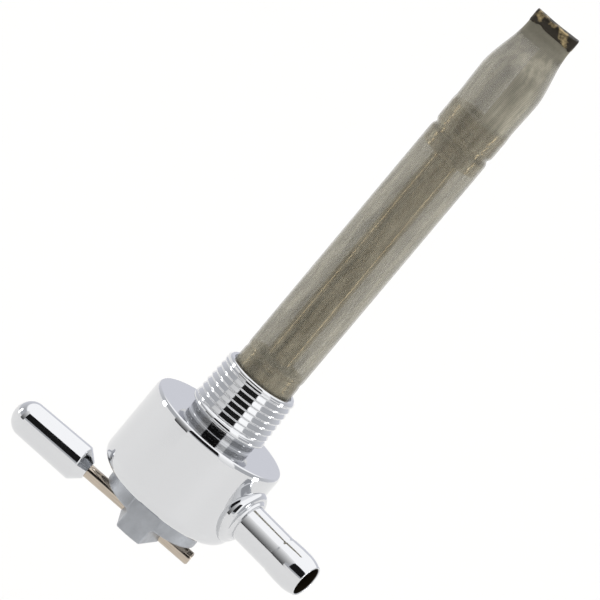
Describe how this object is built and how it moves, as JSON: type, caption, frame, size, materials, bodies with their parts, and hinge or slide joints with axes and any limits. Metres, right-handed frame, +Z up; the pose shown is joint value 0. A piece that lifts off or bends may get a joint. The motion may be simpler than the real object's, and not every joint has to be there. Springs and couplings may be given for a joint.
{
  "type": "fuel petcock",
  "caption": "Turned reserve fuel tap with a taper-threaded tank spigot, a tall two-stage mesh filter, a side hose spout and a rotor worked by a cross lever with a bullet knob.",
  "frame": {"origin": "centre of the body's top face, on the axis of the threaded tank spigot where its thread starts", "axes": "+Z up the spigot and filter into the tank, +X along the hose spout"},
  "size_m": [0.067, 0.0308, 0.1334],
  "materials": {
    "chrome_plate": "polished chrome plate",
    "satin_nickel": "satin, bead blasted and nickel plated",
    "bright_nickel": "bright drawn rod with a warm nickel tone",
    "brass": "plain turned brass",
    "filter_gauze": "fine woven stainless gauze, see-through",
    "steel": "ground steel",
    "ptfe": "white PTFE",
    "nitrile": "moulded nitrile rubber"
  },
  "bodies": {
    "valve": {"valve_body": "chrome_plate", "outlet_spout": "chrome_plate", "main_port_seat": "ptfe", "reserve_port_seat": "ptfe", "outlet_port_seat": "ptfe", "main_seat_o_ring": "nitrile", "reserve_seat_o_ring": "nitrile", "outlet_seat_o_ring": "nitrile", "thrust_washer": "steel", "retaining_ring": "steel", "detent_spring_1": "steel", "detent_spring_2": "steel", "stop_pin": "steel", "filter_mesh": "filter_gauze", "filter_tip_clip": "brass", "filter_ferrule": "brass", "standpipe": "brass", "standpipe_collar": "brass"},
    "handle": {"handle_rotor": "satin_nickel", "rotor_o_ring": "nitrile", "lever_pin": "bright_nickel", "lever_knob": "chrome_plate"},
    "ball_1": {"detent_ball_1": "steel"},
    "ball_2": {"detent_ball_2": "steel"}
  },
  "joints": [
    {"name": "handle_turn", "type": "hinge", "parent": "valve", "child": "handle", "pos_m": [0, 0, -0.02], "axis": [0, 0, 1], "range_deg": [-90, 90]},
    {"name": "ball_1_drop", "type": "slide", "parent": "valve", "child": "ball_1", "axis": [0, 0, 1], "range_m": [-0.0003, 0], "stiffness_N_per_m": 200, "deforming": ["detent_spring_1"]},
    {"name": "ball_2_drop", "type": "slide", "parent": "valve", "child": "ball_2", "axis": [0, 0, 1], "range_m": [-0.0003, 0], "stiffness_N_per_m": 200, "deforming": ["detent_spring_2"]}
  ]
}
